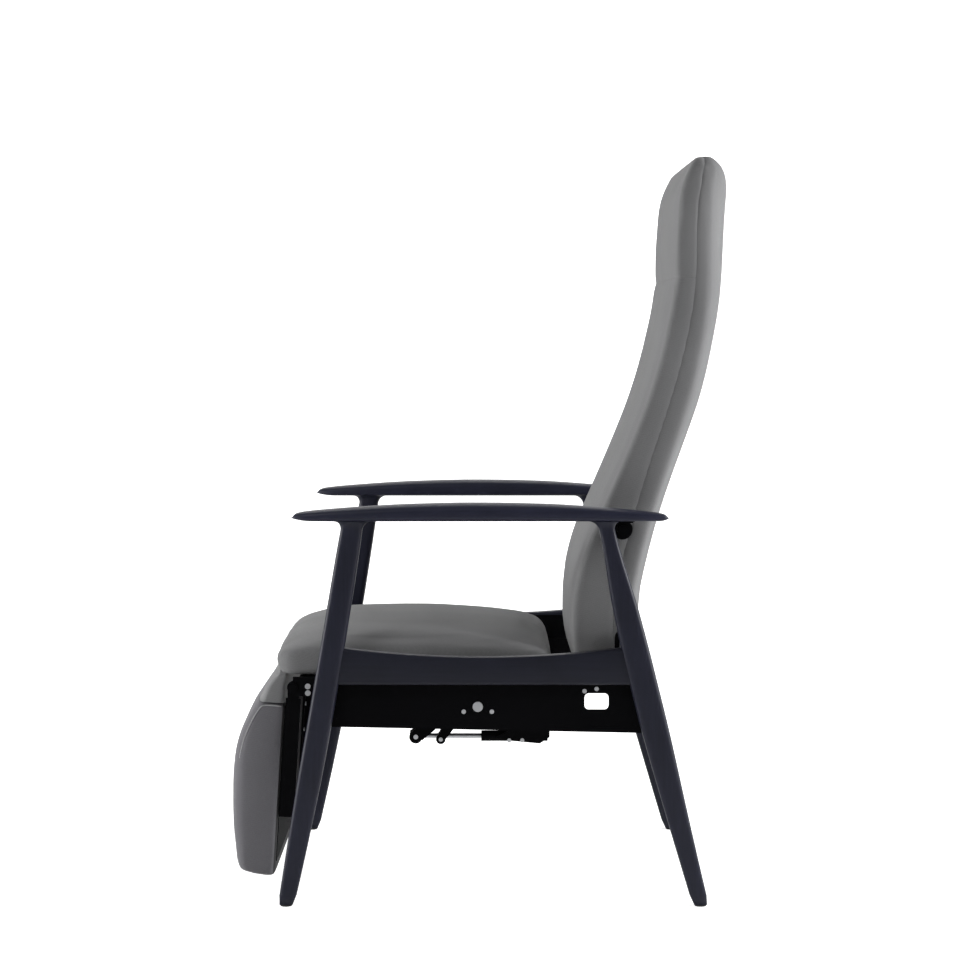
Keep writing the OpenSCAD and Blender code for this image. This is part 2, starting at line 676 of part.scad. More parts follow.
// Gas spring: the rod hangs from the middle tube, the cylinder from the seat
module cheeks() {
    for (k = [-1, 1]) translate([k * (cheek_gap + cheek_t / 2) - cheek_t / 2, 0, 0])
        rotate([90, 0, 90]) linear_extrude(cheek_t) children();
}
module cheek_rivets(ys, z) {
    x = cheek_gap + cheek_t;
    color(zinc_colour) for (k = [0, 1], y = ys) mirror([k, 0, 0]) rod_x(x, x + rivet_h, y, z, rivet_d);
}
module spring_front_bracket() {
    tube_low = middle_tube_z - tube_d / 2;
    color(steel_colour) cheeks() difference() {
        union() {
            polygon([[-middle_tube_y - tube_d, tube_low], [-middle_tube_y + tube_d * cheek_share, tube_low],
                [-spring_front_y + eye_r, spring_z - eye_r / 2],
                [-spring_front_y - eye_r, spring_z + eye_r / 2]]);
            polygon([[-middle_tube_y - tube_d, tube_low], [-middle_tube_y + tube_d * cheek_share, tube_low],
                [-lobe_y + lobe_r, lobe_z], [-lobe_y - lobe_r, lobe_z]]);
            translate([-lobe_y, lobe_z]) circle(r = lobe_r, $fn = sides);
            translate([-spring_front_y, spring_z]) circle(r = eye_r, $fn = sides);
        }
        translate([-spring_front_y, spring_z]) circle(d = eye_d, $fn = sides);
        translate([-middle_tube_y, middle_tube_z]) circle(d = tube_d, $fn = sides);
    }
}
module front_bracket_rivets() {
    cheek_rivets([-lobe_y], lobe_z);
}
module spring_rod() {
    color(zinc_colour) {
        rod_x(-cheek_gap - cheek_t, cheek_gap + cheek_t, -spring_front_y, spring_z, eye_d);
        translate([0, -spring_front_y, spring_z]) rotate([-90, 0, 0])
            cylinder(h = spring_front_y + spring_rear_y - cylinder_l + rod_engaged, d = rod_d, $fn = sides);
    }
}
module spring_cylinder() {
    color(steel_colour) {
        translate([0, spring_rear_y - cylinder_l, spring_z]) rotate([-90, 0, 0]) difference() {
            cylinder(h = cylinder_l + eye_d, d = spring_d, $fn = sides);
            translate([0, 0, -over])
                cylinder(h = cylinder_l - cylinder_end + over, d = rod_d + 2 * running, $fn = sides);
        }
        rod_x(-cheek_gap - cheek_t, cheek_gap + cheek_t, spring_rear_y, spring_z, eye_d);
    }
}
module spring_rear_bracket() {
    bar_low = seat_z - seat_bar_h;
    color(steel_colour) cheeks() difference() {
        polygon([[seat_rear_bar_y - seat_bar_w / 2, bar_low], [seat_rear_bar_y + eye_r, bar_low],
            [spring_rear_y + eye_r, spring_z], [spring_rear_y - eye_r / 2, spring_z - lever_drop],
            [lever_front_y + eye_r, spring_z - lever_drop + lever_rise], [lever_front_y - eye_r, spring_z],
            [seat_rear_bar_y - seat_bar_w / 2, spring_z + lever_h]]);
        translate([spring_rear_y, spring_z]) circle(d = eye_d, $fn = sides);
    }
}
module rear_bracket_rivets() {
    cheek_rivets([lever_front_y + eye_r, lever_front_y + 3 * eye_r], spring_z - lever_drop / 2);
}

// Outlines of the back at a height
back_h = back_top_z - back_low_z;
back_reach = back_rear_y - back_front_y;
function back_share(z) = (z - back_low_z) / back_h;
function front_of_back(z) = back_front_y + back_reach * smooth(back_front_shares, back_share(z));
function seam_of_back(z) = back_front_y + back_reach * smooth(back_seam_shares, back_share(z));
function rear_of_back(z) = back_front_y + back_reach * smooth(back_rear_shares, back_share(z));

// Cushion of the back between two heights, against the seam
module back_pad(z0, z1, r0, r1, steps, crown) {
    color(fabric_colour) skin([for (s = end_steps(steps))
        let (z = z0 + (z1 - z0) * s, d0 = drawn_in(z - z0, r0), d1 = drawn_in(z1 - z, r1))
        upright_ring(z, back_half_w - d0 - d1, front_of_back(z) + d0, seam_of_back(z),
            soft_round, flat_round, crown)]);
}
module back_cushion() {
    back_pad(back_low_z, crease_z - touch, back_foot_r, back_crease_r, back_stations, back_crown);
}
module head_cushion() {
    back_pad(crease_z, back_top_z - touch, back_crease_r, back_head_r, head_stations, head_crown);
}
// Rear shell: padded skin with a pocket in front for the wooden frame
module back_shell() {
    z0 = back_low_z + shell_lift;
    pocket_x = back_bar_x + back_bar_w + touch;
    color(dark_fabric_colour) difference() {
        skin([for (s = end_steps(shell_stations))
            let (z = z0 + (back_top_z - z0) * s, d0 = drawn_in(z - z0, back_foot_r),
                d1 = drawn_in(back_top_z - z, back_head_r))
            upright_ring(z, back_half_w - d0 - d1, seam_of_back(z) + touch, rear_of_back(z) - d0,
                flat_round, soft_round, 0)]);
        skin([for (i = [0 : frame_steps])
            let (z = frame_z(i) + (i == 0 ? -touch : i == frame_steps ? touch : 0), y = seam_of_back(z))
            [[pocket_x, y - over, z], [pocket_x, y + pocket_d, z],
                [-pocket_x, y + pocket_d, z], [-pocket_x, y - over, z]]]);
    }
}
// Wooden frame of the back: two curved side bars and three cross bars
module back_frame() {
    color(ply_colour) {
        for (x = [-back_bar_x - back_bar_w, back_bar_x])
            back_strip(x, back_bar_w, 0, frame_steps, back_bar_off, back_bar_t);
        for (s = back_bar_shares) let (i = s * frame_steps)
            back_strip(-back_bar_x, 2 * back_bar_x, i, i + 1, back_bar_off, back_bar_t);
    }
}
module back_webbing() {
    x = back_bar_x + back_bar_w;
    color(web_colour) for (i = [0 : frame_steps - 1])
        back_strip(-x, 2 * x, i + back_web_gap, i + 1 - back_web_gap, web_clear, back_web_t);
}
// Heights that divide the frame, and a strip along the seam between two of them
function frame_z(i) = frame_low_z + (frame_top_z - frame_low_z) * i / frame_steps;
function frame_y(i) = let (a = min(floor(i), frame_steps - 1),
    y0 = seam_of_back(frame_z(a)), y1 = seam_of_back(frame_z(a + 1)))
    y0 + (y1 - y0) * (i - a);
module back_strip(x, w, i0, i1, off, t) {
    rows = concat([i0], [for (i = [floor(i0) + 1 : ceil(i1) - 1]) i], [i1]);
    side_plate_of(x, w) polygon(concat([for (i = rows) [frame_y(i) + off, frame_z(i)]],
        [for (k = [len(rows) - 1 : -1 : 0]) [frame_y(rows[k]) + off + t, frame_z(rows[k])]]));
}

// Leg rest, in a plane that leans with its board: -Z runs down the board, +Y faces rearward
module on_rest() {
    translate([0, -rest_top_y, rest_top_z]) rotate([-rest_slope, 0, 0]) children();
}
function rest_ring(s) =
    let (z = -rest_l * (1 - s))
    upright_ring(z, rest_half_w - drawn_in(rest_l * min(s, 1 - s), rest_corner_r),
        -rest_t * smooth(rest_front_shares, s), 0,
        soft_round, flat_round, rest_crown);
module leg_rest_pad() {
    color(fabric_colour) on_rest() difference() {
        skin([for (s = end_steps(rest_stations)) rest_ring(s)]);
        translate([-board_half_w - touch, -board_t - touch, -board_drop - board_l - touch])
            cube([2 * (board_half_w + touch), board_t + touch + over, board_l + 2 * touch]);
    }
}
module leg_rest_board() {
    color(ply_colour) on_rest() translate([-board_half_w, -board_t, -board_drop - board_l])
        cube([2 * board_half_w, board_t, board_l]);
}
// Soft flap that closes the wedge between the pad and the seat front
module leg_rest_flap() {
    h = seat_z - rest_top_z - flap_room;
    color(fabric_colour) on_rest() skin([for (s = end_steps(flap_stations))
        upright_ring(2 * touch + h * s, flap_half_w - drawn_in(h * min(s, 1 - s), flap_corner_r),
            -rest_t * smooth(flap_shares, s), 0, soft_round, flat_round, 0)]);
}
// Angle bracket behind the board, with the hinge eye at its top
module leg_rest_bracket(side) {
    color(steel_colour) mirrored(side) difference() {
        union() {
            side_plate_of(rest_arm_x - rest_arm_t, rest_arm_t) union() {
                translate([-hinge_y, hinge_z]) circle(r = rest_boss_r, $fn = sides);
                polygon([[-hinge_y - rest_boss_r, hinge_z], [-hinge_y + rest_boss_r, hinge_z],
                    [-hinge_y + rest_boss_r, hinge_z - rest_arm_w],
                    [-hinge_y - rest_boss_r, hinge_z - rest_arm_w]]);
            }
            on_rest() translate([rest_arm_x - rest_arm_t, touch, -rest_arm_l])
                cube([rest_arm_t, rest_arm_w, rest_arm_l + rest_boss_r]);
            on_rest() translate([rest_arm_x - rest_flange_w, touch, -rest_arm_l])
                cube([rest_flange_w, bracket_t, rest_arm_l - board_drop]);
        }
        rod_x(rest_arm_x - rest_arm_t - over, rest_arm_x + over,
            -hinge_y, hinge_z, hinge_pin_d + 2 * running);
    }
}
module leg_rest_screws() {
    color(zinc_colour) on_rest() for (x = [-1, 1], k = [1 : rest_screws])
        translate([x * (rest_arm_x - rest_flange_w * screw_share), touch + bracket_t,
            -rest_arm_l * (k - 1 / 2) / rest_screws])
            rotate([-90, 0, 0]) cylinder(h = screw_h, d = screw_d, $fn = sides);
}

front_leg("left");  // left_front_leg
front_leg("right");  // right_front_leg
rear_leg("left");  // left_rear_leg
rear_leg("right");  // right_rear_leg
armrest("left");  // left_armrest
armrest("right");  // right_armrest
side_rail("left");  // left_side_rail
side_rail("right");  // right_side_rail
foot_glides();
side_plate("left");  // left_side_plate
side_plate("right");  // right_side_plate
slide_channel("left");  // left_slide_channel
slide_channel("right");  // right_slide_channel
rail_bolts("left");  // left_rail_bolts
rail_bolts("right");  // right_rail_bolts
plate_bolts("left");  // left_plate_bolts
plate_bolts("right");  // right_plate_bolts
cross_tube(-front_tube_y, front_tube_z);  // front_cross_tube
cross_tube(-middle_tube_y, middle_tube_z);  // middle_cross_tube
cross_tube(rear_tube_y, rear_tube_z);  // rear_cross_tube
pivot_bracket("left");  // left_pivot_bracket
pivot_bracket("right");  // right_pivot_bracket
pivot_pin("left");  // left_pivot_pin
pivot_pin("right");  // right_pivot_pin
spring_front_bracket();
front_bracket_rivets();
spring_rod();
seat_frame();
seat_webbing();
seat_cushion();
slide_blocks("left");  // left_slide_blocks
slide_blocks("right");  // right_slide_blocks
link_plate("left");  // left_link_plate
link_plate("right");  // right_link_plate
hinge_plate("left");  // left_hinge_plate
hinge_plate("right");  // right_hinge_plate
hinge_pin("left");  // left_hinge_pin
hinge_pin("right");  // right_hinge_pin
hinge_screws("left");  // left_hinge_screws
hinge_screws("right");  // right_hinge_screws
spring_rear_bracket();
rear_bracket_rivets();
spring_cylinder();
back_frame();
back_webbing();
back_shell();
back_cushion();
head_cushion();
pivot_socket("left");  // left_pivot_socket
pivot_socket("right");  // right_pivot_socket
link_pin("left");  // left_link_pin
link_pin("right");  // right_link_pin
leg_rest_board();
leg_rest_pad();
leg_rest_flap();
leg_rest_bracket("left");  // left_leg_rest_bracket
leg_rest_bracket("right");  // right_leg_rest_bracket
leg_rest_screws();
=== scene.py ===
"""Looks of the high-backed reclining armchair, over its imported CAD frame.

Metres, +Z up, the sitter faces -Y, X = 0 is the plane of symmetry, the camera stands at +X.
Wood and soft parts are built here over the CAD solids; steel parts keep their CAD shape.
"""

import json
import math

import bmesh
import bpy
import numpy as np
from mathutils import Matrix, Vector
from mathutils.bvhtree import BVHTree

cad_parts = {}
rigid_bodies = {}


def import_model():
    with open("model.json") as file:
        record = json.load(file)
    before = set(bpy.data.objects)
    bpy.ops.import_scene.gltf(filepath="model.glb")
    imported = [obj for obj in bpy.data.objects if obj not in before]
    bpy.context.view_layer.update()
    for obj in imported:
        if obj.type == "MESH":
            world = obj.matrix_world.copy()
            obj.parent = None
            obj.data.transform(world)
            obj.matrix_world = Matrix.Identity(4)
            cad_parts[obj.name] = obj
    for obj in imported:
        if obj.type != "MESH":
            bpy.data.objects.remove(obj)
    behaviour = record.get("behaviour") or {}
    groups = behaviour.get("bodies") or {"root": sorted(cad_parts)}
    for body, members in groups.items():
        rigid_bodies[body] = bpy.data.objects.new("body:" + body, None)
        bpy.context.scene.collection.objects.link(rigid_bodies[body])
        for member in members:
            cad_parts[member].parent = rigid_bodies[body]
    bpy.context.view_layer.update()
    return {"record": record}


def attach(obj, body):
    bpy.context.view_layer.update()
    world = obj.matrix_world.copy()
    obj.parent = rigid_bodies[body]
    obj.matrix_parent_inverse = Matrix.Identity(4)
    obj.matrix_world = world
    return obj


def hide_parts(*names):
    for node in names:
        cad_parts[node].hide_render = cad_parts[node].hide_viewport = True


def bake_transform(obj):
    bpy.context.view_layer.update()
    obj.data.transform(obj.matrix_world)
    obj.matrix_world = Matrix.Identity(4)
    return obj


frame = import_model()
SIDES = (1, -1)

# ---------------------------------------------------------------- camera, light and room
CAMERA_X, CAMERA_Z = 4.0649, 0.9013
CAMERA_TILT = 3.508
CAMERA_LENS = 91.07
SENSOR = 36.0
WORLD_LIGHT, FLOOR_GLOW = 0.11, 0.7

# ---------------------------------------------------------------- sizes shared with the CAD
SIDE_X = 0.295
LEG_W = 0.028
GLIDE_H = 0.0025
ARM_UNDER = 0.6065
ARM_T, ARM_W, ARM_L = 0.0285, 0.056, 0.589
FLARE = 0.014
RAIL_LOW, RAIL_H, RAIL_DIP, RAIL_T = 0.350, 0.058, 0.0145, 0.024
BACK_TOP, BACK_LOW, CREASE = 1.178, 0.338, 0.985
BACK_FRONT, BACK_REACH, BACK_HALF_W = 0.149, 0.240, 0.238
SEAT_LOW, SEAT_H, SEAT_FRONT, SEAT_REAR, SEAT_HALF_W = 0.354, 0.066, -0.322, 0.115, 0.240
REST_TOP_Y, REST_TOP_Z, REST_L, REST_T, REST_HALF_W = -0.3095, 0.310, 0.280, 0.0805, 0.236
REST_SLOPE = math.radians(3.6)

FRONT_LEG = dict(foot=-0.3045, top=-0.198, bow=0.003, depth=0.0385,
                 shares=[(0, 0.68), (0.2, 0.88), (0.42, 1), (0.7, 0.99), (0.9, 0.94), (1, 0.87)])
REAR_LEG = dict(foot=0.3465, top=0.1945, bow=-0.003, depth=0.044,
                shares=[(0, 0.59), (0.19, 0.76), (0.44, 0.985), (0.6, 1), (0.78, 0.9), (0.97, 0.57), (1, 0.57)])
ARM_TOP = [(0, 0), (0.004, 0.22), (0.015, 0.42), (0.05, 0.55), (0.14, 0.71), (0.25, 0.865), (0.35, 0.95), (0.48, 1),
           (0.6, 0.975), (0.72, 0.89), (0.87, 0.66), (0.95, 0.49), (0.985, 0.38), (0.996, 0.22), (1, 0)]
ARM_WIDTH = [(0, 0), (0.004, 0.36), (0.015, 0.55), (0.05, 0.76), (0.14, 0.92), (0.3, 1), (0.55, 1), (0.8, 0.9),
             (0.93, 0.76), (0.985, 0.52), (0.996, 0.34), (1, 0)]
# Rise of the underside at the front and the rear tip, and how far it reaches
ARM_TIP_LIFTS = ((0.0050, 0.034), (0.0040, 0.016))
BACK_FRONT_SHARES = [(0, 0.085), (0.05, 0.018), (0.136, 0), (0.232, 0.056), (0.328, 0.179), (0.425, 0.322),
                     (0.521, 0.457), (0.616, 0.561), (0.712, 0.633), (0.772, 0.664), (0.832, 0.670), (0.867, 0.672),
                     (0.914, 0.678), (0.949, 0.706), (0.979, 0.755), (1, 0.800)]
BACK_SEAM_SHARES = [(0, 0.263), (0.147, 0.259), (0.203, 0.289), (0.298, 0.369), (0.412, 0.485), (0.507, 0.594),
                    (0.601, 0.691), (0.693, 0.761), (0.767, 0.792), (0.876, 0.796), (0.936, 0.817), (1, 0.854)]
BACK_REAR_SHARES = [(0, 0.406), (0.074, 0.419), (0.163, 0.434), (0.21, 0.463), (0.301, 0.542), (0.37, 0.619),
                    (0.461, 0.734), (0.551, 0.839), (0.642, 0.91), (0.733, 0.963), (0.868, 0.988), (0.936, 0.999),
                    (0.96, 0.996), (0.984, 0.956), (1, 0.872)]
# How far the nose of the seat stands ahead of its solid
NOSE_FULL = 0.0045
SEAT_TOP_SHARES = [(0, 0.53), (0.002, 0.585), (0.006, 0.635), (0.015, 0.69), (0.032, 0.75), (0.057, 0.80),
                   (0.098, 0.853), (0.167, 0.937), (0.24, 0.979), (0.34, 0.992), (0.44, 1), (0.55, 0.996),
                   (0.664, 0.955), (0.785, 0.903), (0.9, 0.834), (0.965, 0.761), (0.99, 0.64), (1, 0.529)]
SEAT_LOW_SHARES = [(0, 0.441), (0.006, 0.243), (0.02, 0.066), (0.04, 0), (0.97, 0), (0.99, 0.033), (1, 0.154)]
# How far the cloth of the back lies behind its front line, and the shell behind its rear line
FRONT_SLIM = [(0, -0.0050), (0.15, -0.0045), (0.3, -0.0028), (0.45, -0.0010), (0.7, -0.0010), (0.83, -0.0018),
              (0.9, 0.0006), (0.95, -0.0003), (1, -0.002)]
SHELL_FULL = [(0, 0.003), (0.4, 0.0040), (0.9, 0.0040), (0.936, 0.0060), (0.958, 0.0100), (0.973, 0.0115),
              (1, 0.0125)]
# How much the shell narrows towards its rear, and the share of its depth that is flat at the side
SHELL_LEAN = [(0, 0.0), (0.6, 0.02), (0.8, 0.14), (1, 0.28)]
SHELL_TURN = [(0, 0.25), (0.3, 0.25), (0.6, 0.15), (0.78, 0.04), (1, 0.0)]
REST_FRONT_SHARES = [(0, 0.173), (0.015, 0.632), (0.03, 0.759), (0.06, 0.81), (0.14, 0.859), (0.26, 0.927),
                     (0.42, 0.972), (0.58, 0.994), (0.7, 0.976), (0.8, 0.908), (0.9, 0.778), (0.97, 0.65), (1, 0.585)]


# ---------------------------------------------------------------- shape helpers
def smooth(table, s):
    """Value at s of a smooth curve through (place, value) rows, level where the rows turn."""
    last = len(table) - 1
    i = 0
    while i < last - 1 and s >= table[i + 1][0]:
        i += 1

    def slope(k):
        a, b = max(k - 1, 0), min(k + 1, last)
        turns = a < k < b and (table[b][1] - table[k][1]) * (table[k][1] - table[a][1]) <= 0
        return 0.0 if turns else (table[b][1] - table[a][1]) / (table[b][0] - table[a][0])

    w = table[i + 1][0] - table[i][0]
    u = min(max((s - table[i][0]) / w, 0.0), 1.0)
    v = 1 - u
    return (table[i][1] * v * v * (1 + 2 * u) + table[i + 1][1] * u * u * (1 + 2 * v)
            + w * (slope(i) * u * v * v - slope(i + 1) * u * u * v))


def end_steps(n):
    """Places from 0 to 1, closer together towards both ends."""
    return [(1 - math.cos(math.pi * i / n)) / 2 for i in range(n + 1)]


def box_point(angle, e, e_rear):
    """Point of a rounded box of half width 1; small e is square, e = 1 is round, e_rear is for the rear half."""
    c, s = math.cos(angle), math.sin(angle)
    k = e_rear if s > 0 else e
    return math.copysign(abs(c) ** k, c), math.copysign(abs(s) ** k, s)


def drawn_in(d, r):
    """How far a corner of radius r draws a surface in, at a distance d from its end."""
    return 0.0 if d >= r else r - math.sqrt(max(r * r - (r - d) ** 2, 0.0))


def add_mesh(name, verts, faces):
    mesh = bpy.data.meshes.new(name)
    mesh.from_pydata([tuple(v) for v in verts], [], faces)
    mesh.validate()
    mesh.polygons.foreach_set("use_smooth", [True] * len(mesh.polygons))
    obj = bpy.data.objects.new(name, mesh)
    bpy.context.scene.collection.objects.link(obj)
    fix = bmesh.new()
    fix.from_mesh(mesh)
    bmesh.ops.recalc_face_normals(fix, faces=fix.faces)
    fix.to_mesh(mesh)
    fix.free()
    return obj


def skin(name, rings):
    """Closed mesh through rings of points, with a centre point on each end."""
    n, m = len(rings[0]), len(rings)
    verts = [p for ring in rings for p in ring]
    faces = [(j * n + i, (j + 1) * n + i, (j + 1) * n + (i + 1) % n, j * n + (i + 1) % n)
             for j in range(m - 1) for i in range(n)]
    for j, base in ((0, len(verts)), (m - 1, len(verts) + 1)):
        ring = rings[j]
        verts.append(tuple(sum(p[k] for p in ring) / n for k in range(3)))
        faces += [(base, j * n + i, j * n + (i + 1) % n) for i in range(n)]
    return add_mesh(name, verts, faces)


def tube(name, points, radius, sides):
    """Round tube through points, each ring square to the path."""
    pts = [Vector(p) for p in points]
    n = len(pts)
    rings = []
    side = None
    for i, p in enumerate(pts):
        t = (pts[min(i + 1, n - 1)] - pts[max(i - 1, 0)]).normalized()
        if side is None:
            side = t.orthogonal().normalized()
        side = (side - t * side.dot(t)).normalized()
        up = t.cross(side)
        rings.append([p + (side * math.cos(2 * math.pi * k / sides) + up * math.sin(2 * math.pi * k / sides)) * radius
                      for k in range(sides)])
    verts = [v for ring in rings for v in ring]
    faces = [(j * sides + k, (j + 1) * sides + k, (j + 1) * sides + (k + 1) % sides, j * sides + (k + 1) % sides)
             for j in range(n - 1) for k in range(sides)]
    faces += [tuple(range(sides)), tuple((n - 1) * sides + k for k in range(sides))]
    return add_mesh(name, verts, faces)


# ---------------------------------------------------------------- materials
def new_material(name, colour, roughness, **sockets):
    mat = bpy.data.materials.new(name)
    mat.use_nodes = True
    mat.diffuse_color = (*colour, 1)
    tree = mat.node_tree
    shader = tree.nodes["Principled BSDF"]
    shader.inputs["Base Color"].default_value = (*colour, 1)
    shader.inputs["Roughness"].default_value = roughness
    for key, value in sockets.items():
        shader.inputs[key.replace("_", " ")].default_value = value
    return mat, tree, shader


def node(tree, kind, **values):
    n = tree.nodes.new(kind)
    for key, value in values.items():
        setattr(n, key, value)
    return n


def object_coords(tree, scale=(1, 1, 1), rotation=(0, 0, 0)):
    coords = node(tree, "ShaderNodeTexCoord")
    mapping = node(tree, "ShaderNodeMapping")
    mapping.inputs["Scale"].default_value = scale
    mapping.inputs["Rotation"].default_value = rotation
    tree.links.new(coords.outputs["Object"], mapping.inputs["Vector"])
    return mapping.outputs["Vector"]


def noise(tree, vector, scale, detail=3.0, rough=0.5):
    n = node(tree, "ShaderNodeTexNoise")
    n.inputs["Scale"].default_value = scale
    n.inputs["Detail"].default_value = detail
    n.inputs["Roughness"].default_value = rough
    tree.links.new(vector, n.inputs["Vector"])
    return n.outputs["Fac"]


def spread(tree, value, low, high):
    """Value from 0 to 1 carried to the range from low to high."""
    n = node(tree, "ShaderNodeMapRange")
    n.inputs["To Min"].default_value = low
    n.inputs["To Max"].default_value = high
    tree.links.new(value, n.inputs["Value"])
    return n.outputs["Result"]


def maths(tree, how, a, b):
    n = node(tree, "ShaderNodeMath", operation=how)
    for socket, value in zip(n.inputs, (a, b)):
        if isinstance(value, (int, float)):
            socket.default_value = value
        else:
            tree.links.new(value, socket)
    return n.outputs[0]


def shade(tree, factor, dark, light, shader):
    """Base colour between two colours."""
    ramp = node(tree, "ShaderNodeValToRGB")
    ramp.color_ramp.elements[0].color = (*dark, 1)
    ramp.color_ramp.elements[1].color = (*light, 1)
    tree.links.new(factor, ramp.inputs["Fac"])
    tree.links.new(ramp.outputs["Color"], shader.inputs["Base Color"])
    return ramp


def bump(tree, height, strength, distance, shader):
    """Surface relief from a height."""
    n = node(tree, "ShaderNodeBump")
    n.inputs["Strength"].default_value = strength
    n.inputs["Distance"].default_value = distance
    tree.links.new(height, n.inputs["Height"])
    tree.links.new(n.outputs["Normal"], shader.inputs["Normal"])


def scaled(colour, k):
    return tuple(c * k for c in colour)


def weave(tree, vector, pitch):
    """Lattice of thread bumps on every face, whichever way it lies."""
    total = None
    for direction in "XYZ":
        wave = node(tree, "ShaderNodeTexWave", wave_type="BANDS", bands_direction=direction, wave_profile="SIN")
        wave.inputs["Scale"].default_value = math.pi / 10 / pitch
        wave.inputs["Distortion"].default_value = 0.8
        wave.inputs["Detail"].default_value = 1.0
        wave.inputs["Detail Scale"].default_value = 1.4
        tree.links.new(vector, wave.inputs["Vector"])
        total = wave.outputs["Fac"] if total is None else maths(tree, "ADD", total, wave.outputs["Fac"])
    return maths(tree, "DIVIDE", total, 3.0)


def fabric(name, colour, pitch=0.0013, depth=0.00035, sheen=0.22):
    """Wool weave: fine threads, mixed fibres, and slow changes of tone where the nap lies differently."""
    mat, tree, shader = new_material(name, colour, 0.92, Sheen_Weight=sheen, Sheen_Roughness=0.55)
    shader.inputs["Specular IOR Level"].default_value = 0.18
    at = object_coords(tree)
    threads = weave(tree, object_coords(tree, rotation=(0.3, 0.35, 0.25)), pitch)
    fibres = noise(tree, at, 900.0, 2.0, 0.7)
    nap = noise(tree, at, 9.0, 3.0, 0.55)
    tone = maths(tree, "ADD", maths(tree, "MULTIPLY", threads, 0.16), maths(tree, "MULTIPLY", fibres, 0.56))
    tone = maths(tree, "ADD", tone, maths(tree, "MULTIPLY", nap, 0.28))
    ramp = shade(tree, tone, scaled(colour, 0.74), scaled(colour, 1.24), shader)
    ramp.color_ramp.elements[0].position = 0.22
    ramp.color_ramp.elements[1].position = 0.78
    height = maths(tree, "ADD", maths(tree, "MULTIPLY", threads, 0.16), maths(tree, "MULTIPLY", fibres, 0.85))
    bump(tree, height, 0.55, depth, shader)
    return mat


# Colour sockets of the mix node, whose names repeat for each data type
MIX_A, MIX_B, MIX_RESULT = 6, 7, 2
LINING_EDGE = 0.0008


def dark_behind(tree, shader, normal, start, colour):
    """Turns the base colour to another one behind a plane, where the lining is sewn on."""
    across = node(tree, "ShaderNodeVectorMath", operation="DOT_PRODUCT")
    across.inputs[1].default_value = normal
    tree.links.new(object_coords(tree), across.inputs[0])
    edge = node(tree, "ShaderNodeMapRange")
    edge.inputs["From Min"].default_value, edge.inputs["From Max"].default_value = start, start + LINING_EDGE
    tree.links.new(across.outputs["Value"], edge.inputs["Value"])
    mix = node(tree, "ShaderNodeMix", data_type="RGBA")
    source = shader.inputs["Base Color"].links[0].from_socket
    tree.links.new(edge.outputs["Result"], mix.inputs["Factor"])
    tree.links.new(source, mix.inputs[MIX_A])
    mix.inputs[MIX_B].default_value = (*colour, 1)
    tree.links.new(mix.outputs[MIX_RESULT], shader.inputs["Base Color"])


def wood(name, colour, along, roughness=0.42):
    """Stained wood: long grain and pores that show through the stain, a little lighter where the surface is convex,
    as on its edges.
    """
    mat, tree, shader = new_material(name, colour, roughness)
    shader.inputs["Specular IOR Level"].default_value = 0.32
    stretch = {"Y": (1, 0.045, 1), "Z": (1, 1, 0.045)}[along]
    at = object_coords(tree, scale=stretch)
    grain = noise(tree, at, 210.0, 6.0, 0.62)
    pores = noise(tree, at, 900.0, 2.0, 0.5)
    cloud = noise(tree, object_coords(tree), 14.0, 2.0, 0.5)
    tone = maths(tree, "ADD", maths(tree, "MULTIPLY", grain, 0.5), maths(tree, "MULTIPLY", cloud, 0.3))
    # Lighter on convex edges and darker in hollows, from the surface's pointiness.
    edge = node(tree, "ShaderNodeNewGeometry")
    convex_lift = spread(tree, edge.outputs["Pointiness"], 0.0, 0.2)
    tone = maths(tree, "ADD", tone, convex_lift)
    ramp = shade(tree, tone, scaled(colour, 0.72), scaled(colour, 1.55), shader)
    ramp.color_ramp.elements[0].position = 0.3
    ramp.color_ramp.elements[1].position = 0.75
    tree.links.new(spread(tree, grain, roughness - 0.07, roughness + 0.1), shader.inputs["Roughness"])
    bump(tree, maths(tree, "ADD", grain, maths(tree, "MULTIPLY", pores, 0.5)), 0.22, 0.0003, shader)
    return mat


def steel(name, colour, metallic, roughness, grit=700.0, depth=0.00006, anisotropic=0.0, gloss=0.5):
    """Coated or plated steel: fine orange peel or scratches, smudges that change the gloss."""
    mat, tree, shader = new_material(name, colour, roughness, Metallic=metallic, Anisotropic=anisotropic)
    shader.inputs["Specular IOR Level"].default_value = gloss
    at = object_coords(tree)
    peel = noise(tree, at, grit, 2.0, 0.5)
    smudge = noise(tree, at, 35.0, 3.0, 0.6)
    shade(tree, smudge, scaled(colour, 0.8), scaled(colour, 1.2), shader)
    tree.links.new(spread(tree, smudge, roughness - 0.08, roughness + 0.12), shader.inputs["Roughness"])
    bump(tree, peel, 0.35, depth, shader)
    return mat


def plywood(name, colour):
    mat, tree, shader = new_material(name, colour, 0.6)
    grain = noise(tree, object_coords(tree, scale=(0.06, 1, 1)), 120.0, 5.0, 0.6)
    shade(tree, grain, scaled(colour, 0.7), scaled(colour, 1.15), shader)
    bump(tree, grain, 0.2, 0.0003, shader)
    return mat


def webbing(name, colour):
    """Woven elastic bands: ribs across and a pale thread here and there."""
    mat, tree, shader = new_material(name, colour, 0.85)
    at = object_coords(tree)
    ribs = weave(tree, at, 0.0022)
    shade(tree, ribs, scaled(colour, 0.6), scaled(colour, 2.2), shader)
    bump(tree, ribs, 0.6, 0.0005, shader)
    return mat


def plastic(name, colour, roughness):
    mat, tree, shader = new_material(name, colour, roughness)
    at = object_coords(tree)
    scuff = noise(tree, at, 60.0, 4.0, 0.65)
    shade(tree, scuff, scaled(colour, 0.85), scaled(colour, 1.12), shader)
    bump(tree, noise(tree, at, 500.0), 0.2, 0.0001, shader)
    return mat


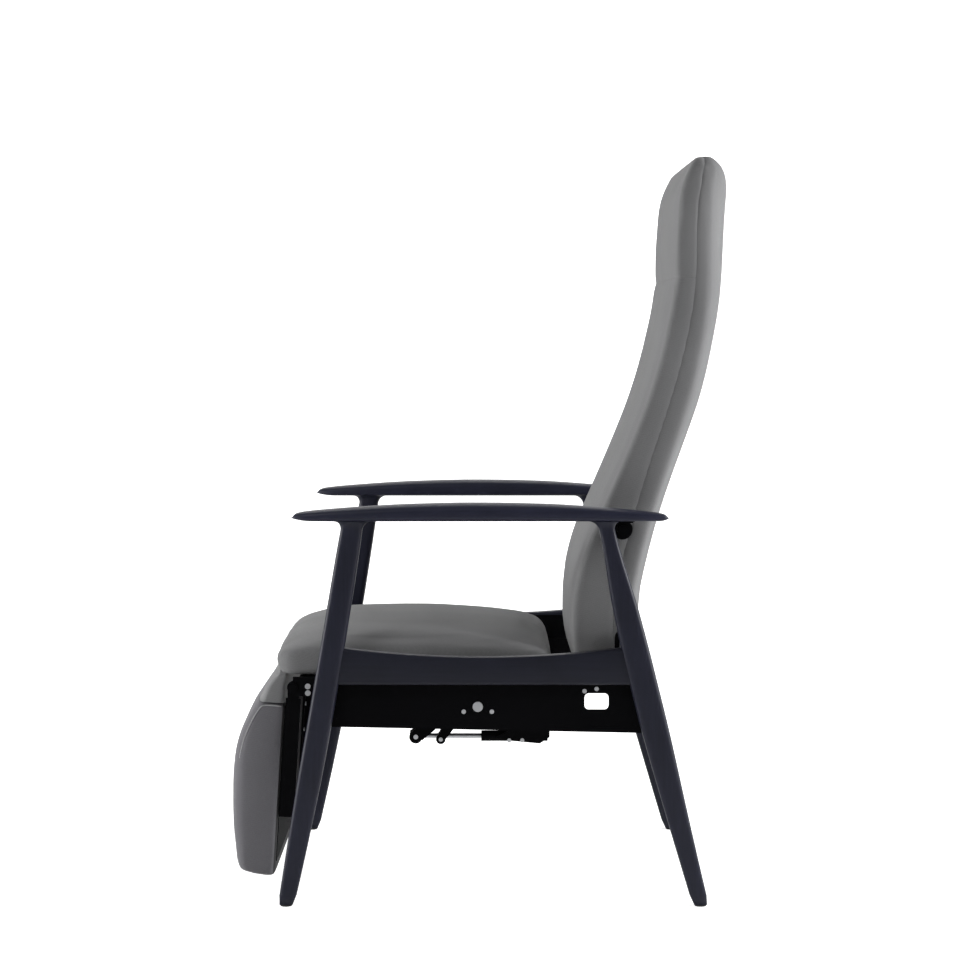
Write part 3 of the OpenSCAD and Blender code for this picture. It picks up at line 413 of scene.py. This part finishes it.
FABRIC = (0.180, 0.181, 0.184)
WOOD = (0.0100, 0.0110, 0.0230)
LINING = (0.014, 0.014, 0.016)
LINING_WRAP = 0.0045
cloth = fabric("grey_wool", FABRIC)
cloth_rear = fabric("grey_wool_rear", FABRIC, sheen=0.08)
# Painted shade: a darker copy of the same wool, standing in for the shade that falls on the seat.
cloth_seat_painted_shade = fabric("grey_wool_seat", scaled(FABRIC, 0.92))
# Painted shade: a darker copy of the same wool, standing in for the shade low down on the leg rest.
cloth_rest_painted_shade = fabric("grey_wool_leg_rest", (0.140, 0.1375, 0.149))
# Painted light: a lighter copy of the same wool, standing in for the light that falls on the flap from above the
# front.
cloth_flap_painted_light = fabric("grey_wool_flap", scaled(FABRIC, 1.1))
rest_rear = (0.0, math.cos(REST_SLOPE), -math.sin(REST_SLOPE))
rest_plane = REST_TOP_Y * rest_rear[1] + REST_TOP_Z * rest_rear[2]
dark_behind(cloth_rest_painted_shade.node_tree, cloth_rest_painted_shade.node_tree.nodes["Principled BSDF"], rest_rear,
            rest_plane - LINING_WRAP, LINING)
# Painted highlight: a much lighter copy of the same wool, standing in for the light caught by the raised welts.
cloth_welt_painted_highlight = fabric("grey_wool_welt", scaled(FABRIC, 1.8))
lining = fabric("dark_lining", (0.006, 0.006, 0.007), pitch=0.0009, sheen=0.02)
wood_up = wood("stained_wood_upright", WOOD, "Z")
# Painted light: a lighter copy of the wood stain, standing in for the light that falls on the armrests from above.
arm_wood_painted_light = wood("stained_wood_arm", scaled(WOOD, 1.35), "Y")
# Painted shade: a darker copy of the wood stain, standing in for the shade low down on the rails under the seat.
rail_wood_painted_shade = wood("stained_wood_rail", scaled(WOOD, 0.7), "Y")
black = steel("black_coated_steel", (0.0016, 0.0016, 0.0023), 0.0, 0.55, gloss=0.06)
zinc = steel("zinc_plated_steel", (0.60, 0.61, 0.63), 1.0, 0.33, grit=1400.0, depth=0.00003, anisotropic=0.3)
ply = plywood("birch_plywood", (0.50, 0.36, 0.20))
bands = webbing("elastic_webbing", (0.018, 0.018, 0.019))
glide = plastic("black_glide", (0.02, 0.02, 0.02), 0.5)
nylon = plastic("slide_nylon", (0.66, 0.66, 0.62), 0.38)
slot_material = {"stained_wood": wood_up, "black_steel": black, "zinc_steel": zinc, "seat_fabric": cloth,
                 "shell_fabric": cloth_rear, "lining": lining, "plywood": ply, "webbing": bands,
                 "glide_plastic": glide, "slide_nylon": nylon}

for part in frame["record"]["subparts"]:
    cad = bpy.data.objects.get(part["node"])
    if cad is None:
        cad = next(o for o in bpy.data.objects if o.name.split(".")[0] == part["node"])
    cad.data.materials.clear()
    blackened = part["node"].endswith("_hinge_pin")
    cad.data.materials.append(black if blackened else slot_material[part["material_slot"]])


def finish_piece(obj, body, slot, material, *nodes):
    """Give a piece its material and the body it rides on, and hide the CAD nodes that it stands for; its slot is not
    used.
    """
    obj.data.materials.clear()
    obj.data.materials.append(material)
    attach(obj, body)
    if nodes:
        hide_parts(*nodes)


# ---------------------------------------------------------------- wooden side frames
def leg_rings(spec, side, sides=40):
    """Sections of a tapered leg that flares into the armrest."""
    height = ARM_UNDER - GLIDE_H
    stops = [i / 40 * (1 - FLARE / height) for i in range(40)]
    stops += [1 - FLARE / height * (1 - math.sin(math.pi / 2 * i / 8)) for i in range(9)]
    rings = []
    for s in stops:
        z = height * s
        d = height - z
        flare = 0.0 if d >= FLARE else FLARE - math.sqrt(max(FLARE ** 2 - (FLARE - d) ** 2, 0))
        half = spec["depth"] * smooth(spec["shares"], s) / 2 + flare
        w = LEG_W / 2 * (0.8 + 0.2 * min(1, s * 3)) + flare * 0.35
        mid = spec["foot"] + (spec["top"] - spec["foot"]) * s + spec["bow"] * 4 * s * (1 - s)
        foot = drawn_in(z, 0.0025)
        rings.append([(side * (SIDE_X + (w - foot) * p), mid + (half - foot) * q, GLIDE_H + z)
                      for p, q in (box_point(2 * math.pi * i / sides, 0.5, 0.5) for i in range(sides))])
    return rings


def arm_rings(side, sides=48):
    """Sections of an armrest, whose underside rises at its tips."""
    rings = []
    for s in end_steps(110)[1:-1]:
        h, w = ARM_T * smooth(ARM_TOP, s) / 2, ARM_W * smooth(ARM_WIDTH, s) / 2
        lift = sum(rise * max(0.0, 1 - ARM_L * t / reach) ** 2
                   for (rise, reach), t in zip(ARM_TIP_LIFTS, (s, 1 - s)))
        low, half = ARM_UNDER + lift, max(h - lift * 0.5, h * 0.2)
        rings.append([(side * (SIDE_X + w * p), ARM_L * (s - 0.5), low + half * (1 - q))
                      for p, q in (box_point(2 * math.pi * i / sides, 0.7, 0.45) for i in range(sides))])
    return rings


def leg_edge(spec, z, toward):
    """Y of a leg's face at a height; toward is +1 for its rear face, -1 for its front face."""
    s = (z - GLIDE_H) / (ARM_UNDER - GLIDE_H)
    mid = spec["foot"] + (spec["top"] - spec["foot"]) * s + spec["bow"] * 4 * s * (1 - s)
    return mid + toward * spec["depth"] * smooth(spec["shares"], s) / 2


def rail(side):
    """Side rail: dished top, level underside, eased long edges, ends let into the legs."""
    x0 = SIDE_X - LEG_W / 2
    x1 = x0 + RAIL_T
    ease, let_in = 0.003, 0.004
    top = RAIL_LOW + RAIL_H
    across = [(x0, ease), (x0 + ease, 0), (x1 - ease, 0), (x1, ease)]
    stations = 48
    rings = []
    for i in range(stations + 1):
        u = i / stations
        ring = []
        for lower in (True, False):
            for x, d in (across if lower else across[::-1]):
                if lower:
                    z = RAIL_LOW + d
                else:
                    z = top - RAIL_DIP * (1 - (2 * u - 1) ** 2) - d
                y0, y1 = leg_edge(FRONT_LEG, z, 1) - let_in, leg_edge(REAR_LEG, z, -1) + let_in
                ring.append((side * x, y0 + (y1 - y0) * u, z))
        rings.append(ring)
    obj = skin("left_rail" if side > 0 else "right_rail", rings)
    bevel = obj.modifiers.new("eased", "BEVEL")
    bevel.width = 0.0016
    bevel.segments = 3
    bevel.limit_method = "ANGLE"
    bevel.angle_limit = math.radians(25)
    return obj


for side in SIDES:
    hand = "left" if side > 0 else "right"
    for name, spec in (("front_leg", FRONT_LEG), ("rear_leg", REAR_LEG)):
        leg = skin(f"{hand}_{name}_wood", leg_rings(spec, side))
        finish_piece(leg, "frame", "stained_wood", wood_up, f"{hand}_{name}")
    arm = skin(f"{hand}_armrest_wood", arm_rings(side))
    finish_piece(arm, "frame", "stained_wood", arm_wood_painted_light, f"{hand}_armrest")
    finish_piece(rail(side), "frame", "stained_wood", rail_wood_painted_shade, f"{hand}_side_rail")


# ---------------------------------------------------------------- soft parts
def upright_ring(z, half_w, front, rear, e, e_rear, crown, mid=None, sides=88):
    """Level section that is widest at mid."""
    mid = (front + rear) / 2 if mid is None else mid
    ring = []
    for i in range(sides):
        p, q = box_point(2 * math.pi * i / sides, e, e_rear)
        bulge = crown * (1 - p * p) * -q if q < 0 else 0.0
        y = mid + (rear - mid if q > 0 else mid - front) * q
        ring.append((half_w * p, y - bulge, z))
    return ring


def flat_ring(y, half_w, low, high, e, e_low, crown, sides=88):
    """Upright section across the chair, crowned on top."""
    mid, h = (low + high) / 2, (high - low) / 2
    ring = []
    for i in range(sides):
        p, q = box_point(2 * math.pi * i / sides, e, e_low)
        bulge = crown * (1 - p * p) * -q if q < 0 else 0.0
        ring.append((half_w * p, y, mid - h * q + bulge))
    return ring


def back_share(z):
    return (z - BACK_LOW) / (BACK_TOP - BACK_LOW)


def front_of_back(z):
    return BACK_FRONT + BACK_REACH * smooth(BACK_FRONT_SHARES, back_share(z))


def seam_of_back(z):
    return BACK_FRONT + BACK_REACH * smooth(BACK_SEAM_SHARES, back_share(z))


def rear_of_back(z):
    return BACK_FRONT + BACK_REACH * smooth(BACK_REAR_SHARES, back_share(z))


VOXEL = 0.006
SEAM_HOLD = 0.0035
CLOTH_STIFFNESS = 12.0
SIM_FRAMES = 14
EVEN_ROUNDS = 14


def puff(obj, seams, hold, pressure, cap):
    """Blow the shape up as cloth, held along its seams and where hold(point) is true, by no more than cap."""
    remesh = obj.modifiers.new("even", "REMESH")
    remesh.mode = "VOXEL"
    remesh.voxel_size = VOXEL
    even = obj.modifiers.new("smooth", "SMOOTH")
    even.factor, even.iterations = 0.5, 3
    apply_modifiers(obj)
    mesh = obj.data
    mesh.polygons.foreach_set("use_smooth", [True] * len(mesh.polygons))
    start = points_of(obj)
    distance = distance_to(seams, start)
    held = np.array([hold(p) for p in start], bool) | (distance < SEAM_HOLD)
    group = obj.vertex_groups.new(name="held")
    group.add([int(i) for i in np.flatnonzero(held)], 1.0, "REPLACE")
    cloth_sim = obj.modifiers.new("blown", "CLOTH")
    s = cloth_sim.settings
    s.quality = 4
    s.mass = 0.3
    s.tension_stiffness = s.compression_stiffness = CLOTH_STIFFNESS
    s.shear_stiffness = CLOTH_STIFFNESS * 0.5
    s.bending_stiffness = 0.4
    s.use_pressure = True
    s.uniform_pressure_force = pressure
    s.vertex_group_mass = "held"
    s.pin_stiffness = 1.0
    s.effector_weights.gravity = 0.0
    cloth_sim.collision_settings.use_collision = False
    scene = bpy.context.scene
    cloth_sim.point_cache.frame_start, cloth_sim.point_cache.frame_end = 1, SIM_FRAMES
    for f in range(1, SIM_FRAMES + 1):
        scene.frame_set(f)
    apply_modifiers(obj)
    scene.frame_set(1)
    move = evened(obj, points_of(obj) - start, ~held)
    length = np.linalg.norm(move, axis=1, keepdims=True)
    end = start + move * np.tanh(length / cap) * cap / np.maximum(length, 1e-9)
    set_points(obj, end)
    obj.vertex_groups.clear()


def evened(obj, move, free):
    """Each free point's move averaged with its neighbours' moves, so that the cloth swells without puckers."""
    ends = np.zeros(len(obj.data.edges) * 2, np.int64)
    obj.data.edges.foreach_get("vertices", ends)
    a, b = ends[0::2], ends[1::2]
    count = np.bincount(ends, minlength=len(move))[:, None].astype(float)
    for _ in range(EVEN_ROUNDS):
        total = np.zeros_like(move)
        np.add.at(total, a, move[b])
        np.add.at(total, b, move[a])
        move = np.where(free[:, None], 0.4 * move + 0.6 * total / count, move)
    return move


def apply_modifiers(obj):
    graph = bpy.context.evaluated_depsgraph_get()
    done = bpy.data.meshes.new_from_object(obj.evaluated_get(graph), depsgraph=graph)
    obj.modifiers.clear()
    obj.data = done


def points_of(obj):
    flat = np.zeros(len(obj.data.vertices) * 3, np.float32)
    obj.data.vertices.foreach_get("co", flat)
    return flat.reshape(-1, 3).astype(float)


def set_points(obj, points):
    obj.data.vertices.foreach_set("co", points.astype(np.float32).ravel())
    obj.data.update()


def distance_to(lines, points):
    """Distance from each point to the nearest of several polylines."""
    best = np.full(len(points), 1.0)
    for line in lines:
        a = np.array(line[:-1], float)
        b = np.array(line[1:], float)
        d = b - a
        length2 = np.maximum((d * d).sum(1), 1e-12)
        for i in range(len(a)):
            low, high = np.minimum(a[i], b[i]) - 0.03, np.maximum(a[i], b[i]) + 0.03
            near = np.flatnonzero(((points >= low) & (points <= high)).all(1))
            if not len(near):
                continue
            rel = points[near] - a[i]
            t = np.clip(rel @ d[i] / length2[i], 0, 1)
            away = np.linalg.norm(rel - t[:, None] * d[i], axis=1)
            best[near] = np.minimum(best[near], away)
    return best


def subdivide(obj):
    sub = obj.modifiers.new("round", "SUBSURF")
    sub.levels = sub.render_levels = 1
    apply_modifiers(obj)
    obj.data.polygons.foreach_set("use_smooth", [True] * len(obj.data.polygons))


def on_surface(obj, line):
    """The line carried to the nearest places of the surface."""
    graph = bpy.context.evaluated_depsgraph_get()
    tree = BVHTree.FromObject(obj, graph)
    return [tree.find_nearest(Vector(p))[0] for p in line]


def corner_line(rings, angle_share, side):
    """Line along the rings through one corner of their section."""
    n = len(rings[0])
    k = int(round(angle_share * n)) % n
    if side < 0:
        k = (n // 2 - k) % n
    return [rings[j][k] for j in range(len(rings))]


# Back cushion and head cushion: crowned front, flat sides whose rear edges are tucked inside the shell, and ends
# that run on into each other below and above a crease in the front
TUCK = 0.010
CREASE_DIP, CREASE_REACH = 0.0030, 0.0055
SEAM_HALF_W = BACK_HALF_W - 0.001


def back_half_w(z):
    """Half width of the back, drawn in at its foot and its top."""
    return SEAM_HALF_W - drawn_in(z - BACK_LOW - 0.002, 0.020) - drawn_in(BACK_TOP - 0.002 - z, 0.026)


def back_pad(name, z0, z1, r0, r1, stations, crown):
    rings = []
    for s in end_steps(stations):
        z = z0 + (z1 - z0) * s
        past = max(z0 + TUCK - z, 0.0) if z0 > BACK_LOW + TUCK else max(z - z1 + TUCK, 0.0)
        tucked = TUCK * 0.5 * (past / TUCK) ** 2
        dip = CREASE_DIP * math.exp(-((z - CREASE) / CREASE_REACH) ** 2)
        d0, d1 = drawn_in(z - z0, r0), drawn_in(z1 - z, r1)
        slim = smooth(FRONT_SLIM, back_share(z))
        front = front_of_back(z) + d0 + d1 * 0.5 + dip + tucked + slim
        rings.append(upright_ring(z, back_half_w(z) - tucked, front, seam_of_back(z) + TUCK, 0.12, 0.5, crown,
                                  mid=seam_of_back(z)))
    return skin(name, rings)


back_cushion = back_pad("back_cushion_cloth", BACK_LOW + 0.002, CREASE + TUCK, 0.018, 0.0, 64, 0.001)
head_cushion = back_pad("head_cushion_cloth", CREASE - TUCK, BACK_TOP - 0.002, 0.0, 0.006, 40, 0.001)
seat_rings = []
for s in end_steps(60):
    length = SEAT_REAR - SEAT_FRONT
    seat_rings.append(flat_ring(SEAT_FRONT - NOSE_FULL * (1 - s) ** 8 + length * s,
                                SEAT_HALF_W - 0.002 - drawn_in(length * s, 0.034) - drawn_in(length * (1 - s), 0.018),
                                SEAT_LOW + 0.0006 + SEAT_H * smooth(SEAT_LOW_SHARES, s),
                                SEAT_LOW - 0.0045 + SEAT_H * smooth(SEAT_TOP_SHARES, s), 0.3, 0.16, 0.010))
seat_cushion = skin("seat_cushion_cloth", seat_rings)


def shell_ring(z, half_w, seam, rear, turn, lean, sides=88):
    """Level section of the shell: its front edge tucked in, flat sides as far as turn, then a round rear."""
    flat = (rear - seam) * turn
    ring = []
    for i in range(sides):
        p, q = box_point(2 * math.pi * i / sides, 0.5, 0.48)
        y = seam + (flat + (rear - seam - flat) * q if q > 0 else TUCK * q)
        ring.append((half_w * p - lean * max(y - seam, 0.0) * p, y, z))
    return ring


SHELL_LOW = BACK_LOW + 0.008
shell_rings = []
for s in end_steps(64):
    z = SHELL_LOW + (BACK_TOP - 0.001 - SHELL_LOW) * s
    d0 = drawn_in(z - SHELL_LOW, 0.020)
    share = back_share(z)
    seam, rear = seam_of_back(z), rear_of_back(z) - d0 + smooth(SHELL_FULL, share)
    shell_rings.append(shell_ring(z, back_half_w(z) - d0 * 0.3, seam, rear, smooth(SHELL_TURN, share),
                                  smooth(SHELL_LEAN, share)))
back_shell = skin("back_shell_cloth", shell_rings)


def on_rest(p):
    """Point of the leg rest's own plane carried to its place."""
    x, y, z = p
    c, s = math.cos(-REST_SLOPE), math.sin(-REST_SLOPE)
    return (x, REST_TOP_Y + y * c - z * s, REST_TOP_Z + y * s + z * c)


rest_rings = []
for s in end_steps(56):
    z = -REST_L * (1 - s)
    ring = upright_ring(z, REST_HALF_W - 0.0015 - drawn_in(REST_L * s, 0.010) - drawn_in(REST_L * (1 - s), 0.002),
                        -REST_T * smooth(REST_FRONT_SHARES, s), -0.0002, 0.26, 0.1, 0.002)
    rest_rings.append([on_rest(p) for p in ring])
rest_pad = skin("leg_rest_cloth", rest_rings)

flap_h = SEAT_LOW - REST_TOP_Z + 0.003
FLAP_SHARES = [(0, 0.57), (0.3, 0.489), (0.6, 0.407), (0.85, 0.285), (1, 0.183)]
flap_rings = []
for s in end_steps(24):
    ring = upright_ring(0.0006 + flap_h * s, REST_HALF_W - 0.0015 - drawn_in(flap_h * (1 - s), 0.006),
                        -REST_T * smooth(FLAP_SHARES, s), 0.0, 0.36, 0.2, 0.0)
    flap_rings.append([on_rest(p) for p in ring])
flap = skin("leg_rest_flap_cloth", flap_rings)

FRONT_CORNER = 0.5 + 0.147
rest_seams = [corner_line(rest_rings, FRONT_CORNER, side) for side in SIDES]


def at_side(p):
    """True near the flat sides of the back, which the cloth keeps."""
    return abs(p[0]) > back_half_w(p[2]) - 0.007


def at_back_seam(p):
    """True at the sides of the back and close to the seam between cushion and shell."""
    return at_side(p) or p[1] > seam_of_back(p[2]) - SEAM_KEEP


SEAM_KEEP = 0.004
SHELL_KEEP, SEAT_KEEP, REST_KEEP = 0.012, 0.012, 0.007
REST_LEAN = 0.06
puff(back_cushion, [], lambda p: at_back_seam(p) or p[2] > CREASE - SEAM_KEEP, pressure=3.0, cap=0.0035)
puff(head_cushion, [], lambda p: at_back_seam(p) or p[2] < CREASE + SEAM_KEEP, pressure=3.0, cap=0.0035)
puff(seat_cushion, [], lambda p: p[2] < SEAT_LOW + SEAT_KEEP, pressure=2.0, cap=0.006)
puff(back_shell, [], lambda p: at_side(p) or p[1] < seam_of_back(p[2]) + SHELL_KEEP, pressure=2.0, cap=0.005)
puff(rest_pad, rest_seams, lambda p: p[1] > REST_TOP_Y - REST_KEEP - REST_LEAN * (REST_TOP_Z - p[2]),
     pressure=2.5, cap=0.005)
for piece in (back_cushion, head_cushion, seat_cushion, back_shell, rest_pad, flap):
    subdivide(piece)

# Welts round the sides of the leg rest, from its rear top corner forward and down its front edge
WELT_R = 0.0012
WELT_TOP, WELT_END = 0.985, 0.66
for side in SIDES:
    x = side * (REST_HALF_W - 0.002)
    edge = [(x, -t, -0.003) for t in np.linspace(0.004, REST_T * 0.57 - 0.016, 8)]
    for s in np.linspace(WELT_TOP, WELT_END, 16):
        inset = 0.0125 - 0.012 * (WELT_TOP - s)
        edge.append((x, -REST_T * smooth(REST_FRONT_SHARES, s) + inset, -REST_L * (1 - s)))
    line = on_surface(rest_pad, [on_rest(p) for p in edge])
    # Stands out a little, and sinks into the cloth towards its lower end
    sink = [0.0004 - 0.0018 * max(0.0, (i - 15) / 8) for i in range(len(line))]
    line = [Vector((p.x + side * d, p.y, p.z)) for p, d in zip(line, sink)]
    welt = tube("left_rest_welt" if side > 0 else "right_rest_welt", line, WELT_R, sides=8)
    subdivide(welt)
    finish_piece(welt, "leg_rest", "seat_fabric", cloth_welt_painted_highlight)

finish_piece(back_cushion, "back", "seat_fabric", cloth, "back_cushion")
finish_piece(head_cushion, "back", "seat_fabric", cloth, "head_cushion")
finish_piece(seat_cushion, "seat", "seat_fabric", cloth_seat_painted_shade, "seat_cushion")
finish_piece(back_shell, "back", "shell_fabric", cloth_rear, "back_shell")
finish_piece(rest_pad, "leg_rest", "seat_fabric", cloth_rest_painted_shade, "leg_rest_pad")
flap.data.materials.clear()
flap.data.materials.append(cloth_flap_painted_light)
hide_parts("leg_rest_flap")
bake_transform(flap)

# ---------------------------------------------------------------- room
world = bpy.data.worlds.new("studio")
bpy.context.scene.world = world
world.use_nodes = True
backdrop = world.node_tree.nodes["Background"]
backdrop.inputs["Color"].default_value = (1, 1, 1, 1)
backdrop.inputs["Strength"].default_value = WORLD_LIGHT

stage_mat = bpy.data.materials.new("pale_floor")
stage_mat.use_nodes = True
stage_shader = stage_mat.node_tree.nodes["Principled BSDF"]
stage_shader.inputs["Base Color"].default_value = (0.9, 0.9, 0.9, 1)
stage_shader.inputs["Roughness"].default_value = 0.9
stage_shader.inputs["Emission Color"].default_value = (1, 1, 1, 1)
seen = stage_mat.node_tree.nodes.new("ShaderNodeLightPath")
glow = spread(stage_mat.node_tree, seen.outputs["Is Camera Ray"], 0.0, FLOOR_GLOW)
stage_mat.node_tree.links.new(glow, stage_shader.inputs["Emission Strength"])
# Floor that sweeps up behind the chair: (x, z) down its middle
SWEEP_X, SWEEP_R, SWEEP_STEPS = -2.6, 1.4, 12
SWEEP_NEAR, SWEEP_TOP, SWEEP_HALF_W = 4.0, 6.0, 7.0
profile = [(SWEEP_NEAR, 0.0), (SWEEP_X, 0.0)]
profile += [(SWEEP_X - SWEEP_R * math.sin(a), SWEEP_R - SWEEP_R * math.cos(a))
            for a in (math.pi / 2 * i / SWEEP_STEPS for i in range(1, SWEEP_STEPS + 1))]
profile += [(SWEEP_X - SWEEP_R, SWEEP_TOP)]
stage = add_mesh("studio_sweep", [(x, y, z) for x, z in profile for y in (-SWEEP_HALF_W, SWEEP_HALF_W)],
                 [(2 * i, 2 * i + 1, 2 * i + 3, 2 * i + 2) for i in range(len(profile) - 1)])
stage.data.materials.append(stage_mat)


def softbox(name, at, aim, size, power):
    """Rectangular area light at a place, turned to a point."""
    light = bpy.data.lights.new(name, "AREA")
    light.shape = "RECTANGLE"
    light.size, light.size_y = size
    light.energy = power
    obj = bpy.data.objects.new(name, light)
    obj.location = at
    obj.rotation_euler = (Vector(aim) - Vector(at)).to_track_quat("-Z", "Y").to_euler()
    bpy.context.scene.collection.objects.link(obj)


softbox("rear_box", (0.5, 3.0, 1.5), (0, 0.25, 0.80), (1.4, 1.3), 118)
softbox("front_box", (0.5, -3.0, 0.75), (0, -0.1, 0.6), (1.4, 1.3), 66)
softbox("side_box", (2.2, -1.3, 2.3), (0, 0, 0.7), (1.0, 0.9), 17)
softbox("top_box", (-0.6, 0.0, 3.2), (-0.6, 0, 0), (2.4, 2.4), 4)
softbox("backdrop_box", (-2.0, 0.0, 3.6), (-4.0, 0, 1.2), (3.0, 1.5), 60)

camera_data = bpy.data.cameras.new("camera")
camera_data.sensor_width = SENSOR
camera_data.lens = CAMERA_LENS
camera = bpy.data.objects.new("camera", camera_data)
camera.location = (CAMERA_X, 0, CAMERA_Z)
camera.rotation_euler = (math.radians(90 - CAMERA_TILT), 0, math.radians(90))
bpy.context.scene.collection.objects.link(camera)
bpy.context.scene.camera = camera
bpy.context.scene.view_settings.view_transform = "Standard"
